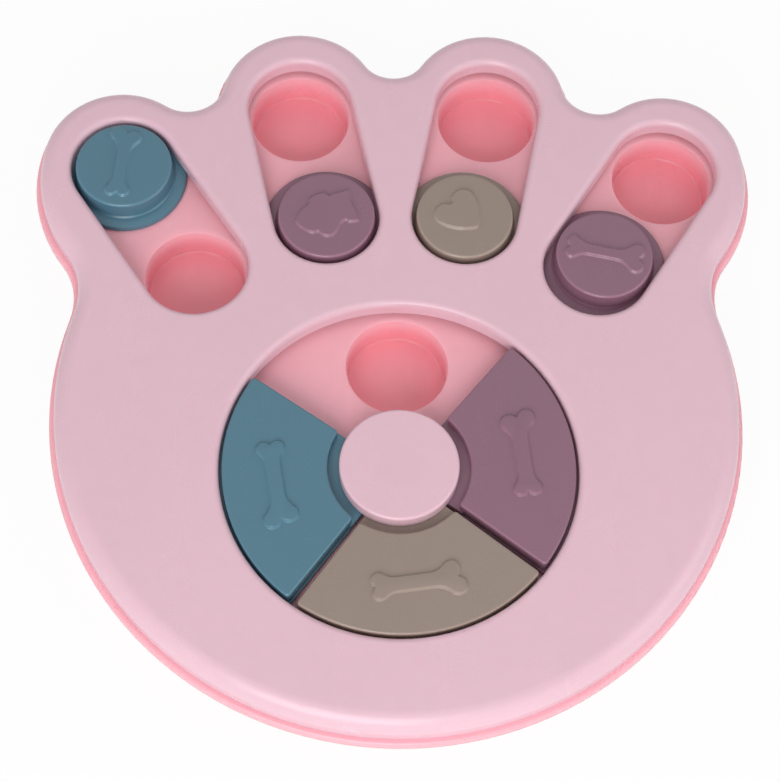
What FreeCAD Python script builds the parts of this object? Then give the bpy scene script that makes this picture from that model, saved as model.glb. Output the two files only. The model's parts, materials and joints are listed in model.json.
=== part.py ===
import FreeCAD, Part
import math
import os
import re
import Sketcher

# Paw-shaped puzzle feeder for dogs: a moulded tray with twelve treat cups, a cover with four toe slots
# and one round opening, four sliding buttons over the toe cups, and three turning tiles over the ring cups.
# Millimetres, +Z up. The plan is laid out about the hub, on which the tiles turn, with the toes towards +Y.
# Every piece is then moved so that the origin is under the middle of the toy, on the ground.

os.makedirs("parts", exist_ok=True)
doc = FreeCAD.newDocument("paw_feeder")

SIZES = {
    # plan of the paw, as seen on the cover
    "body_radius": 120.5,
    "body_back": 26.4,
    "tip_x": 100.9,
    "tip_y": 124.5,
    "tip_radius": 28.7,
    "flank_radius": 54.0,
    "flank_angle": 13.5,
    "inner_toe_x": 35.1,
    "inner_toe_y": 150.7,
    "inner_toe_radius": 29.6,
    "notch_radius": 29.3,
    "outer_valley": 13.3,
    "inner_valley": 12.2,
    # heights above the ground, and depths below the top of the cover
    "deck_height": 33.0,
    "parting_depth": 11.0,
    "floor_depth": 9.4,
    "skirt_foot": 1.2,
    "cup_floor": 11.0,
    # cover
    "deck_wall": 2.5,
    "side_wall": 2.2,
    "cover_edge": 6.5,
    "slot_edge": 1.4,
    "opening_edge": 2.4,
    "lip_wall": 1.8,
    # tray
    "rim_flare": 2.2,
    "rim_band": 3.5,
    "rim_edge": 1.3,
    "skirt_inset": 9.5,
    "skirt_wall": 2.0,
    "floor_wall": 1.8,
    "tongue_wall": 1.6,
    "tongue_rise": 2.6,
    "cup_radius": 17.8,
    "cup_wall": 1.8,
    "cup_draft": 1.5,
    "cup_edge": 1.3,
    "cup_round": 1.2,
    "cup_circle": 42.5,
    "rib_wall": 1.6,
    "rib_depth": 9.0,
    # toe slots: centre of the end nearer the hub, lean from +Y, and length between end centres
    "outer_slot_x": 72.5,
    "outer_slot_y": 78.6,
    "outer_slot_lean": 33.2,
    "outer_travel": 49.3,
    "inner_slot_x": 25.2,
    "inner_slot_y": 99.2,
    "inner_slot_lean": 11.8,
    "inner_travel": 48.0,
    "slot_half": 19.3,
    # sliders
    "button_gap": 1.7,
    "button_draft": 0.6,
    "button_edge": 1.0,
    "button_wall": 2.0,
    "slider_overlap": 3.5,
    "flange_rise": 2.2,
    "slide_clearance": 0.3,
    "lip_clearance": 0.4,
    "flange_edge": 1.1,
    # where each slider rests along its slot, from the end nearer the hub
    "blue_rest": 1.0,
    "fish_rest": 0.0,
    "heart_rest": 0.0,
    "bone_rest": 0.11,
    # raised figures: their sizes, and their turn from +X
    "emblem_rise": 1.1,
    "emblem_inset": 0.55,
    "bone_lobe": 3.3,
    "bone_wide": 2.6,
    "bone_small": 2.75,
    "bone_narrow": 2.1,
    "button_bone": 29.5,
    "button_bone_hollow": 21.0,
    "tile_bone": 32.0,
    "tile_bone_hollow": 25.0,
    "tile_bone_lean": 14.0,
    "blue_lean": -14.0,
    "purple_lean": 4.0,
    "heart_lobe": 4.7,
    "heart_back": 3.2,
    "heart_spread": 4.1,
    "heart_flank": 16.0,
    "heart_tip": 1.2,
    "heart_point": 6.9,
    "fish_body": 8.3,
    "fish_body_front": 3.4,
    "fish_body_aside": -0.4,
    "fish_fin": 1.9,
    "fish_fin_front": 2.2,
    "fish_fin_aside": 7.5,
    "fish_back_hollow": 6.0,
    "fish_tail": 1.3,
    "fish_tail_back": 9.3,
    "fish_tail_left": 5.35,
    "fish_tail_right": 7.3,
    "fish_tail_hollow": 25.0,
    "fish_belly_hollow": 3.5,
    "fish_low_fin": 1.6,
    "fish_low_fin_back": 2.1,
    "fish_low_fin_aside": 7.1,
    "blue_figure_turn": 84.8,
    "fish_figure_turn": 192.0,
    "heart_figure_turn": -46.6,
    "bone_figure_turn": -11.7,
    # ring opening, tiles and hub
    "opening_radius": 62.3,
    "tile_gap": 1.1,
    "tile_drop": 0.8,
    "tile_cap_gap": 4.0,
    "tile_overlap": 4.1,
    "tile_angle": 88.0,
    "tile_side_gap": 0.6,
    "tile_side_inset": 1.2,
    "tile_wall": 2.0,
    "tile_corner": 1.4,
    "tile_edge": 0.9,
    "blue_turn": 188.8,
    "grey_turn": -82.4,
    "purple_turn": 6.2,
    "post_radius": 12.1,
    "post_clearance": 0.5,
    "cap_radius": 20.8,
    "cap_rise": 1.1,
    "cap_depth": 5.6,
    "cap_edge": 1.1,
    "cap_wall": 2.2,
    "stem_radius": 8.0,
    # fasteners and feet
    "screw_inset": 16.5,
    "quarter_angle": -52.0,
    "side_angle": -6.0,
    "toe_screw_x": 59.0,
    "toe_screw_y": 113.5,
    "back_screw_y": 130.0,
    "tower_radius": 4.4,
    "tower_foot": 6.0,
    "seat_depth": 5.6,
    "head_radius": 2.9,
    "head_rise": 2.2,
    "shank_radius": 1.4,
    "shank_length": 10.5,
    "screw_clearance": 0.25,
    "boss_radius": 3.6,
    "hub_head_radius": 3.6,
    "hub_shank": 5.5,
    "foot_radius": 6.0,
    "foot_rise": 2.7,
    "foot_wall": 1.5,
    "foot_inset": 28.0,
    "foot_angle": -44.0,
}

sheet = doc.addObject("Spreadsheet::Sheet", "Sizes")
for row, (alias, size) in enumerate(SIZES.items(), 1):
    sheet.set("A%d" % row, alias)
    sheet.set("B%d" % row, str(size))
    sheet.setAlias("B%d" % row, alias)
doc.recompute()

# Levels and places that several pieces share, as formulas on the sheet
MIDDLE = "((inner_toe_y + inner_toe_radius + body_back - body_radius) / 2)"
PARTING = "(deck_height - parting_depth)"
FLOOR = "(deck_height - floor_depth)"
RIM_FOOT = "(deck_height - parting_depth - rim_band)"
CEILING = "(deck_height - deck_wall)"
GLIDE = "(deck_height - floor_depth + slide_clearance)"
FLANGE_TOP = "(deck_height - floor_depth + slide_clearance + flange_rise)"
LIP_FOOT = "(deck_height - floor_depth + slide_clearance + flange_rise + lip_clearance)"
TILE_TOP = "(deck_height - tile_drop)"
CAP_TOP = "(deck_height + cap_rise)"
CAP_FOOT = "(deck_height + cap_rise - cap_depth)"
SHELF_TOP = "(deck_height + cap_rise - cap_depth - lip_clearance)"
POST_TOP = "(deck_height + cap_rise - cap_depth - lip_clearance / 2)"
POST_CEILING = "(deck_height + cap_rise - cap_depth - lip_clearance / 2 - cap_wall)"
SEAT = "(deck_height - floor_depth - seat_depth)"
RIM_STEP = "(cup_edge * (1 - cos(45)))"
FOOT_TOP = "foot_rise"

# Reach of the pieces that run in the slots and in the round opening, and round the hub cap
BUTTON = "(slot_half - button_gap)"
SLIDER_FLANGE = "(slot_half + slider_overlap)"
TILE_OUTER = "(opening_radius - tile_gap)"
TILE_FLANGE = "(opening_radius + tile_overlap)"
TILE_INNER = "(cap_radius + tile_cap_gap)"


def bound(text):
    """Formula with every size written as the sheet's cell."""
    def cell(match):
        word = match.group(0)
        return "Sizes." + word if word in SIZES else word
    return re.sub(r"[a-z_]+", cell, text)


def number(text):
    """Present value of a formula."""
    return float(sheet.evalExpression(bound(text).replace("Sizes.", "")))


def link(item, prop, text):
    """Binds a property of an object to a formula on the sheet."""
    item.setExpression(prop, bound(text))


def new_body(label, x="0", y="0"):
    """Body of one piece, placed at x, y from the hub."""
    body = doc.addObject("PartDesign::Body", label)
    body.Label = label
    link(body, "Placement.Base.x", x)
    link(body, "Placement.Base.y", "%s - %s" % (y, MIDDLE))
    return body


def new_sketch(body, name, height="0", role="XY_Plane"):
    """Sketch on an origin plane of its body, raised to a height."""
    sketch = body.newObject("Sketcher::SketchObject", name)
    plane = [item for item in body.Origin.OriginFeatures if item.Role == role][0]
    sketch.AttachmentSupport = [(plane, "")]
    sketch.MapMode = "FlatFace"
    if role == "XY_Plane":
        link(sketch, "AttachmentOffset.Base.z", height)
    return sketch


def fix(sketch, kind, *args):
    """Constraint whose last argument is a formula."""
    *places, text = args
    value = number(text)
    if kind == "Angle":
        value = math.radians(value)
    index = sketch.addConstraint(Sketcher.Constraint(kind, *places, value))
    unit = " * 1 deg" if kind == "Angle" else ""
    sketch.setExpression("Constraints[%d]" % index, bound(text) + unit)


def join(sketch, kind, *args):
    """Constraint without a size."""
    sketch.addConstraint(Sketcher.Constraint(kind, *args))


def place_point(sketch, item, point, x, y):
    """Holds a point of an item at x, y from the sketch's origin."""
    fix(sketch, "DistanceX", -1, 1, item, point, x)
    fix(sketch, "DistanceY", -1, 1, item, point, y)


def circle(sketch, x, y, radius):
    """Circle held by its centre and radius."""
    centre = FreeCAD.Vector(number(x), number(y), 0)
    shape = Part.Circle(centre, FreeCAD.Vector(0, 0, 1), number(radius))
    item = sketch.addGeometry(shape, False)
    place_point(sketch, item, 3, x, y)
    fix(sketch, "Radius", item, radius)


def polygon(sketch, corners):
    """Closed outline of straight lines, each corner held by formulas."""
    spots = [FreeCAD.Vector(number(x), number(y), 0) for x, y in corners]
    first = sketch.GeometryCount
    count = len(spots)
    for index in range(count):
        sketch.addGeometry(Part.LineSegment(spots[index], spots[(index + 1) % count]), False)
    for index in range(count):
        join(sketch, "Coincident", first + index, 2, first + (index + 1) % count, 1)
    for index, (x, y) in enumerate(corners):
        place_point(sketch, first + index, 1, x, y)


def arc_between(centre, radius, start, end):
    """Arc drawn counter-clockwise between two points near its circle."""
    angles = [math.atan2(point.y - centre.y, point.x - centre.x) for point in (start, end)]
    base = Part.Circle(centre, FreeCAD.Vector(0, 0, 1), radius)
    return Part.ArcOfCircle(base, angles[0], angles[1])


def third_centre(first, first_reach, second, second_reach):
    """Point at the given distances from two centres, on the right of the way from first to second."""
    way = second - first
    span = way.Length
    along = (span ** 2 + first_reach ** 2 - second_reach ** 2) / (2 * span)
    aside = math.sqrt(first_reach ** 2 - along ** 2)
    way.normalize()
    return first + way * along + FreeCAD.Vector(way.y, -way.x, 0) * aside


def outline(sketch, chain, grow="0"):
    """Closed outline of arcs, counter-clockwise, grown outwards by a formula.

    The chain holds tuples of kind, radius and, for some kinds, the centre as formulas. A "lobe" bulges out about
    a fixed centre. An "arm" is a lobe that runs smoothly into the lobe beside it. A "flank" bulges out and a
    "hollow" curves in, each tangent to both of its neighbours. Two lobes in a row meet at a corner.
    """
    count = len(chain)
    grown = number(grow)
    radii = [number(item[1]) for item in chain]
    sides = [-1 if item[0] == "hollow" else 1 for item in chain]
    centres = [FreeCAD.Vector(number(item[2]), number(item[3]), 0) if len(item) == 4 else None for item in chain]
    for index, item in enumerate(chain):
        last, follower = index - 1, (index + 1) % count
        if item[0] == "hollow":
            centres[index] = third_centre(centres[last], radii[last] + radii[index],
                                          centres[follower], radii[follower] + radii[index])
        if item[0] == "flank":
            centres[index] = third_centre(centres[follower], radii[index] - radii[follower],
                                          centres[last], radii[index] - radii[last])
    joints = []
    smooth = []
    for index in range(count):
        follower = (index + 1) % count
        here, other = centres[index], centres[follower]
        size, next_size = radii[index] + sides[index] * grown, radii[follower] + sides[follower] * grown
        span = (other - here).Length
        tangent = sides[index] != sides[follower] or abs(span - abs(size - next_size)) < 1e-3
        if not tangent:
            joints.append(third_centre(here, size, other, next_size))
        elif sides[index] == sides[follower] and size < next_size:
            joints.append(other + (here - other).normalize() * next_size)
        else:
            joints.append(here + (other - here).normalize() * size)
        smooth.append(tangent)
    first = sketch.GeometryCount
    for index in range(count):
        start, end = joints[index - 1], joints[index]
        if sides[index] == -1:
            start, end = end, start
        sketch.addGeometry(arc_between(centres[index], radii[index] + sides[index] * grown, start, end), False)
    for index, item in enumerate(chain):
        follower = (index + 1) % count
        leave = 2 if sides[index] == 1 else 1
        enter = 1 if sides[follower] == 1 else 2
        kind = "Tangent" if smooth[index] else "Coincident"
        join(sketch, kind, first + index, leave, first + follower, enter)
        sign = "+" if sides[index] == 1 else "-"
        fix(sketch, "Radius", first + index, "%s %s (%s)" % (item[1], sign, grow))
        if item[0] == "lobe":
            place_point(sketch, first + index, 3, item[2], item[3])
        if item[0] == "arm":
            fix(sketch, "DistanceX", -1, 1, first + index, 3, item[2])


def paw(sketch, grow="0"):
    """Outline of the toy: round body, two outer toes with long flanks, two inner toes, and hollows between."""
    flank_x = "(tip_x - (flank_radius - tip_radius) * cos(flank_angle))"
    flank_y = "(tip_y - (flank_radius - tip_radius) * sin(flank_angle))"
    toes = [("hollow", "notch_radius"), ("arm", "flank_radius", flank_x, flank_y),
            ("lobe", "tip_radius", "tip_x", "tip_y"), ("hollow", "outer_valley"),
            ("lobe", "inner_toe_radius", "inner_toe_x", "inner_toe_y")]
    other_toes = [item if len(item) == 2 else (item[0], item[1], "-1 * " + item[2], item[3]) for item in toes]
    outline(sketch, [("lobe", "body_radius", "0", "body_back")] + toes + [("hollow", "inner_valley")]
            + other_toes[::-1], grow)


# The four toe slots from left to right: side of the toy, and which pair of sizes each takes
TOES = [(-1, "outer"), (-1, "inner"), (1, "inner"), (1, "outer")]


def slot_point(side, pair, share):
    """Formulas of the point a share of the way along a slot's centre line."""
    x = "%d * (%s_slot_x + %s * %s_travel * sin(%s_slot_lean))" % (side, pair, share, pair, pair)
    y = "%s_slot_y + %s * %s_travel * cos(%s_slot_lean)" % (pair, share, pair, pair)
    return x, y


def slot(sketch, side, pair, half):
    """Round-ended slot outline of the given half width, from end centre to end centre."""
    near = slot_point(side, pair, "0")
    far = slot_point(side, pair, "1")
    start = FreeCAD.Vector(number(near[0]), number(near[1]), 0)
    end = FreeCAD.Vector(number(far[0]), number(far[1]), 0)
    radius = number(half)
    way = (end - start).normalize()
    across = FreeCAD.Vector(way.y, -way.x, 0) * radius
    first = sketch.GeometryCount
    sketch.addGeometry(arc_between(end, radius, end + across, end - across), False)
    sketch.addGeometry(Part.LineSegment(end - across, start - across), False)
    sketch.addGeometry(arc_between(start, radius, start - across, start + across), False)
    sketch.addGeometry(Part.LineSegment(start + across, end + across), False)
    for index in range(4):
        join(sketch, "Tangent", first + index, 2, first + (index + 1) % 4, 1)
    place_point(sketch, first, 3, far[0], far[1])
    place_point(sketch, first + 2, 3, near[0], near[1])
    fix(sketch, "Radius", first, half)
    fix(sketch, "Radius", first + 2, half)


def sector(sketch, inner, outer, inset):
    """Piece of a ring about the hub, symmetric about +X, with both sides set in by the same width."""
    half = math.radians(number("tile_angle / 2"))
    away = number(inset)
    corners = {}
    for name, radius in (("inner", number(inner)), ("outer", number(outer))):
        along = math.sqrt(radius ** 2 - away ** 2)
        x = along * math.cos(half) + away * math.sin(half)
        y = along * math.sin(half) - away * math.cos(half)
        corners[name] = (FreeCAD.Vector(x, -y, 0), FreeCAD.Vector(x, y, 0))
    centre = FreeCAD.Vector(0, 0, 0)
    first = sketch.GeometryCount
    sketch.addGeometry(arc_between(centre, number(outer), *corners["outer"]), False)
    sketch.addGeometry(Part.LineSegment(corners["inner"][1], corners["outer"][1]), False)
    sketch.addGeometry(arc_between(centre, number(inner), *corners["inner"]), False)
    sketch.addGeometry(Part.LineSegment(corners["inner"][0], corners["outer"][0]), False)
    join(sketch, "Coincident", first, 3, -1, 1)
    join(sketch, "Coincident", first + 2, 3, -1, 1)
    join(sketch, "Coincident", first, 2, first + 1, 2)
    join(sketch, "Coincident", first + 1, 1, first + 2, 2)
    join(sketch, "Coincident", first + 2, 1, first + 3, 1)
    join(sketch, "Coincident", first + 3, 2, first, 1)
    fix(sketch, "Radius", first, outer)
    fix(sketch, "Radius", first + 2, inner)
    fix(sketch, "Angle", first + 1, "tile_angle / 2")
    fix(sketch, "Angle", first + 3, "-1 * tile_angle / 2")
    fix(sketch, "Distance", -1, 1, first + 1, inset)
    fix(sketch, "Distance", -1, 1, first + 3, inset)


def add(body, kind, name, sketch, length, reverse=False, taper=None):
    """Pad or Pocket of a sketch by a formula, checked for the way it changes the volume."""
    before = body.Tip.Shape.Volume if body.Tip is not None and not body.Tip.Shape.isNull() else 0.0
    item = body.newObject("PartDesign::" + kind, name)
    item.Profile = sketch
    item.Reversed = reverse
    link(item, "Length", length)
    if taper is not None:
        link(item, "TaperAngle", taper)
    doc.recompute()
    change = item.Shape.Volume - before
    if (kind == "Pad" and change <= 0) or (kind == "Pocket" and change >= 0):
        raise RuntimeError("%s of %s leaves the solid as it was" % (name, body.Label))
    return item


def revolve(body, name, corners):
    """Solid of revolution about the body's Z axis, from corners given as radius and height."""
    sketch = new_sketch(body, name + "_section", role="XZ_Plane")
    polygon(sketch, corners)
    item = body.newObject("PartDesign::Revolution", name)
    item.Profile = sketch
    item.ReferenceAxis = (sketch, ["V_Axis"])
    item.Angle = 360.0
    doc.recompute()
    return item


def soften(body, name, size, chosen, kind="Fillet"):
    """Fillet or Chamfer of the edges that a test picks on the body's present shape."""
    base = body.Tip
    edges = ["Edge%d" % index for index, edge in enumerate(base.Shape.Edges, 1) if chosen(edge)]
    if not edges:
        raise RuntimeError("%s of %s finds no edge" % (name, body.Label))
    item = body.newObject("PartDesign::" + kind, name)
    item.Base = (base, edges)
    link(item, "Radius" if kind == "Fillet" else "Size", size)
    doc.recompute()
    if item.Shape.isNull():
        raise RuntimeError("%s of %s fails" % (name, body.Label))
    return item


def level(edge, height):
    """Whether an edge lies flat at a height."""
    box = edge.BoundBox
    return abs(box.ZMin - height) < 1e-4 and abs(box.ZMax - height) < 1e-4


def upright(edge, low, high):
    """Whether an edge is straight up, between two heights."""
    box = edge.BoundBox
    flat = max(box.XLength, box.YLength) < 1e-4
    return flat and box.ZLength > 1e-3 and box.ZMin > low - 1e-4 and box.ZMax < high + 1e-4


def radius_of(edge):
    return edge.Curve.Radius if isinstance(edge.Curve, Part.Circle) else 0.0


# Cover screws: four pairs of towers near the wall and between the toes, as formulas from the hub
def on_body(angle, inset):
    """Point inside the round body's edge, at an angle from +X about the body's own centre."""
    reach = "(body_radius - %s)" % inset
    return "%s * cos(%s)" % (reach, angle), "body_back + %s * sin(%s)" % (reach, angle)


def both_sides(point):
    return [point, ("-1 * (%s)" % point[0], point[1])]


SCREWS = [("0", "body_back - (body_radius - screw_inset)")]
SCREWS += both_sides(on_body("quarter_angle", "screw_inset"))
SCREWS += both_sides(on_body("side_angle", "screw_inset"))
SCREWS += both_sides(("toe_screw_x", "toe_screw_y"))
SCREWS += [("0", "back_screw_y")]

# Feet: one under the outer cup of each toe, and two on towers of their own
CUP_FEET = [slot_point(side, pair, "1") for side, pair in TOES]
TOWER_FEET = both_sides(on_body("foot_angle", "foot_inset"))

# Treat cups: one under each end of each slot, and four in a ring under the tiles
TOE_CUPS = [slot_point(side, pair, share) for side, pair in TOES for share in ("0", "1")]
RING_CUPS = [("cup_circle", "0"), ("0", "cup_circle"), ("-1 * cup_circle", "0"), ("0", "-1 * cup_circle")]
CUPS = TOE_CUPS + RING_CUPS


def circles(body, name, height, spots, radius):
    """Sketch of equal circles at several places."""
    sketch = new_sketch(body, name, height)
    for x, y in spots:
        circle(sketch, x, y, radius)
    return sketch


def build_cover():
    """Pale shell with rounded shoulders, lipped slots and opening, and bosses for the screws."""
    body = new_body("top_cover")
    block = new_sketch(body, "cover_outline", PARTING)
    paw(block)
    add(body, "Pad", "cover_block", block, "parting_depth")
    top = number("deck_height")
    soften(body, "cover_shoulder", "min(cover_edge; parting_depth - 1)", lambda edge: level(edge, top))
    hollow = new_sketch(body, "hollow_outline", PARTING)
    paw(hollow, "-1 * side_wall")
    add(body, "Pocket", "cover_hollow", hollow, "parting_depth - deck_wall", reverse=True)
    ceiling = number(CEILING)
    soften(body, "hollow_shoulder", "min(cover_edge; parting_depth - 1) - side_wall",
           lambda edge: level(edge, ceiling), kind="Chamfer")
    bosses = circles(body, "boss_circles", FLOOR, SCREWS, "boss_radius")
    add(body, "Pad", "screw_bosses", bosses, "floor_depth - deck_wall / 2")
    lips = new_sketch(body, "lip_outlines", LIP_FOOT)
    for side, pair in TOES:
        slot(lips, side, pair, "slot_half + lip_wall")
    circle(lips, "0", "0", "opening_radius + lip_wall")
    add(body, "Pad", "lips", lips, "deck_height - %s - deck_wall / 2" % LIP_FOOT)
    holes = new_sketch(body, "hole_outlines", "deck_height")
    for side, pair in TOES:
        slot(holes, side, pair, "slot_half")
    circle(holes, "0", "0", "opening_radius")
    add(body, "Pocket", "holes", holes, "floor_depth")
    half = number("slot_half")
    opening = number("opening_radius")
    soften(body, "slot_rounding", "slot_edge", lambda edge: level(edge, top) and (
        isinstance(edge.Curve, Part.Line) or abs(radius_of(edge) - half) < 1e-4))
    soften(body, "opening_rounding", "min(opening_edge; deck_wall - 0.1)",
           lambda edge: level(edge, top) and abs(radius_of(edge) - opening) < 1e-4)
    pilots = circles(body, "pilot_circles", FLOOR, SCREWS, "shank_radius")
    add(body, "Pocket", "pilot_holes", pilots, "floor_depth - deck_wall - deck_wall / 2", reverse=True)
    return body


def build_tray():
    """Saturated lower shell: flared rim, drawn-in skirt, floor with cups, hub post, towers and ribs."""
    body = new_body("base_tray")
    rim = new_sketch(body, "rim_outline", RIM_FOOT)
    paw(rim, "rim_flare")
    add(body, "Pad", "rim", rim, "rim_band")
    parting = number(PARTING)
    soften(body, "rim_rounding", "rim_edge", lambda edge: level(edge, parting))
    skirt_top = new_sketch(body, "skirt_top", RIM_FOOT)
    paw(skirt_top, "rim_flare")
    skirt_low = new_sketch(body, "skirt_low", "skirt_foot")
    paw(skirt_low, "rim_flare - skirt_inset")
    skirt = body.newObject("PartDesign::AdditiveLoft", "skirt")
    skirt.Profile = skirt_top
    skirt.Sections = [skirt_low]
    skirt.Ruled = True
    doc.recompute()
    hollow_low = new_sketch(body, "hollow_low", "skirt_foot")
    paw(hollow_low, "rim_flare - skirt_inset - skirt_wall")
    hollow_top = new_sketch(body, "hollow_top", "%s - floor_wall" % FLOOR)
    paw(hollow_top, "rim_flare - skirt_wall - rim_edge / 2")
    hollow = body.newObject("PartDesign::SubtractiveLoft", "skirt_hollow")
    hollow.Profile = hollow_low
    hollow.Sections = [hollow_top]
    hollow.Ruled = True
    doc.recompute()
    step = new_sketch(body, "step_outline", PARTING)
    paw(step, "-1 * (side_wall + slide_clearance)")
    add(body, "Pad", "floor_step", step, "parting_depth - floor_depth")
    tongue = new_sketch(body, "tongue_outline", FLOOR)
    paw(tongue, "-1 * (side_wall + slide_clearance)")
    paw(tongue, "-1 * (side_wall + slide_clearance + tongue_wall)")
    add(body, "Pad", "tongue", tongue, "tongue_rise")
    under = "%s - floor_wall / 2" % FLOOR
    cups = circles(body, "cup_outsides", under, CUPS, "cup_radius + cup_wall")
    add(body, "Pad", "cup_walls", cups, "%s - (cup_floor - cup_wall)" % under, reverse=True,
        taper="-1 * cup_draft")
    post = circles(body, "post_circle", under, [("0", "0")], "post_radius")
    add(body, "Pad", "hub_post", post, "%s - (%s)" % (POST_TOP, under))
    socket = circles(body, "socket_circle", under, [("0", "0")], "post_radius")
    add(body, "Pad", "hub_socket", socket, "rib_depth", reverse=True)
    towers = circles(body, "tower_circles", "tower_foot", SCREWS, "tower_radius")
    add(body, "Pad", "screw_towers", towers, "%s - tower_foot" % under)
    pads = circles(body, "pad_circles", "skirt_foot", CUP_FEET, "foot_radius + foot_wall")
    add(body, "Pad", "foot_pads", pads, "cup_floor - skirt_foot - cup_wall / 2")
    stands = circles(body, "stand_circles", "skirt_foot", TOWER_FEET, "foot_radius + foot_wall")
    add(body, "Pad", "foot_stands", stands, "%s - skirt_foot" % under)
    ribs = new_sketch(body, "rib_outlines", under)
    near = "cup_circle + cup_radius"
    edge = "body_radius - side_wall - skirt_wall"
    for side in (1, -1):
        polygon(ribs, [("%d * (%s)" % (side, near), "-1 * rib_wall / 2"),
                       ("%d * (%s)" % (side, edge), "-1 * rib_wall / 2"),
                       ("%d * (%s)" % (side, edge), "rib_wall / 2"),
                       ("%d * (%s)" % (side, near), "rib_wall / 2")])
    add(body, "Pad", "ribs", ribs, "rib_depth", reverse=True)
    # each cup's rim is turned over in two slopes, from the floor of the tray down to its wall
    rims = circles(body, "cup_rims", FLOOR, CUPS, "cup_radius + cup_edge")
    add(body, "Pocket", "upper_slope", rims, RIM_STEP, taper="-67.5")
    bends = circles(body, "cup_bends", "%s - %s" % (FLOOR, RIM_STEP), CUPS, "cup_radius + %s" % RIM_STEP)
    add(body, "Pocket", "lower_slope", bends, "cup_edge - %s" % RIM_STEP, taper="-22.5")
    mouths = circles(body, "cup_mouths", "%s - cup_edge" % FLOOR, CUPS, "cup_radius")
    add(body, "Pocket", "cups", mouths, "%s - cup_edge - cup_floor" % FLOOR, taper="-1 * cup_draft")
    bottom = number("cup_floor")
    mouth = number("cup_radius")
    soften(body, "cup_floors", "cup_round", lambda edge: level(edge, bottom) and radius_of(edge) > mouth / 2,
           kind="Chamfer")
    bore = circles(body, "bore_circle", "0", [("0", "0")], "post_radius - cap_wall")
    add(body, "Pocket", "post_bore", bore, POST_CEILING, reverse=True)
    hub_hole = circles(body, "hub_hole_circle", "0", [("0", "0")], "shank_radius + screw_clearance")
    add(body, "Pocket", "hub_hole", hub_hole, "deck_height", reverse=True)
    seats = circles(body, "seat_circles", "0", SCREWS, "head_radius + screw_clearance")
    add(body, "Pocket", "screw_seats", seats, SEAT, reverse=True)
    holes = circles(body, "screw_circles", "0", SCREWS, "shank_radius + screw_clearance")
    add(body, "Pocket", "screw_holes", holes, "deck_height", reverse=True)
    rests = circles(body, "foot_circles", "0", CUP_FEET + TOWER_FEET, "foot_radius + screw_clearance")
    add(body, "Pocket", "foot_recesses", rests, FOOT_TOP, reverse=True)
    return body


def build_hub_cap():
    """Round pale cap with a stem that stands on the hub post."""
    body = new_body("hub_cap")
    inner = "cap_radius - cap_wall"
    roof = CAP_TOP + " - cap_wall"
    pilot = "shank_radius"
    revolve(body, "cap", [
        ("0", CAP_TOP),
        ("cap_radius", CAP_TOP),
        ("cap_radius", CAP_FOOT),
        (inner, CAP_FOOT),
        (inner, roof),
        ("stem_radius", roof),
        ("stem_radius", POST_TOP),
        (pilot, POST_TOP),
        (pilot, CAP_TOP + " - cap_wall / 2"),
        ("0", CAP_TOP + " - cap_wall / 2")])
    top = number(CAP_TOP)
    soften(body, "cap_rounding", "cap_edge", lambda edge: level(edge, top))
    return body


def build_screw(label, spot, seat, head, head_rise, length):
    """Self-tapping pan-head screw, driven up from beneath."""
    body = new_body(label, x=spot[0], y=spot[1])
    revolve(body, "screw", [
        ("0", "%s - %s" % (seat, head_rise)),
        ("%s * 0.7" % head, "%s - %s" % (seat, head_rise)),
        (head, "%s - %s * 0.6" % (seat, head_rise)),
        (head, seat),
        ("shank_radius", seat),
        ("shank_radius", "%s + %s - shank_radius" % (seat, length)),
        ("shank_radius / 3", "%s + %s" % (seat, length)),
        ("0", "%s + %s" % (seat, length))])
    return body


def build_foot(label, spot):
    """Rubber disc pressed into its recess, standing proud of the skirt."""
    body = new_body(label, x=spot[0], y=spot[1])
    revolve(body, "disc", [
        ("0", "0"),
        ("foot_radius - 0.6", "0"),
        ("foot_radius", "0.6"),
        ("foot_radius", FOOT_TOP),
        ("0", FOOT_TOP)])
    return body


def bone(sketch, grow, length, hollow, lean):
    """Bone lying along X: a wider pair of lobes that leans, a smaller pair, and two hollow sides."""
    reach = "(%s / 2 - bone_lobe)" % length
    back = "-1 * (%s / 2 - bone_small)" % length
    wide_x = "bone_wide * sin(%s)" % lean
    wide_y = "bone_wide * cos(%s)" % lean
    outline(sketch, [
        ("lobe", "bone_lobe", "%s + %s" % (reach, wide_x), "-1 * %s" % wide_y),
        ("lobe", "bone_lobe", "%s - %s" % (reach, wide_x), wide_y),
        ("hollow", hollow),
        ("lobe", "bone_small", back, "bone_narrow"),
        ("lobe", "bone_small", back, "-1 * bone_narrow"),
        ("hollow", hollow)], grow)


def heart(sketch, grow):
    """Heart with its point along +X."""
    outline(sketch, [
        ("lobe", "heart_lobe", "-1 * heart_back", "-1 * heart_spread"),
        ("flank", "heart_flank"),
        ("lobe", "heart_tip", "heart_point", "0"),
        ("flank", "heart_flank"),
        ("lobe", "heart_lobe", "-1 * heart_back", "heart_spread")], grow)


def fish(sketch, grow):
    """Fish heading along +X: round body, a fin on each side, and a broad tail with a hollow end."""
    outline(sketch, [
        ("lobe", "fish_body", "fish_body_front", "fish_body_aside"),
        ("lobe", "fish_fin", "fish_fin_front", "fish_fin_aside"),
        ("hollow", "fish_back_hollow"),
        ("lobe", "fish_tail", "-1 * fish_tail_back", "fish_tail_left"),
        ("hollow", "fish_tail_hollow"),
        ("lobe", "fish_tail", "-1 * fish_tail_back", "-1 * fish_tail_right"),
        ("hollow", "fish_belly_hollow"),
        ("lobe", "fish_low_fin", "-1 * fish_low_fin_back", "-1 * fish_low_fin_aside")], grow)


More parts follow.
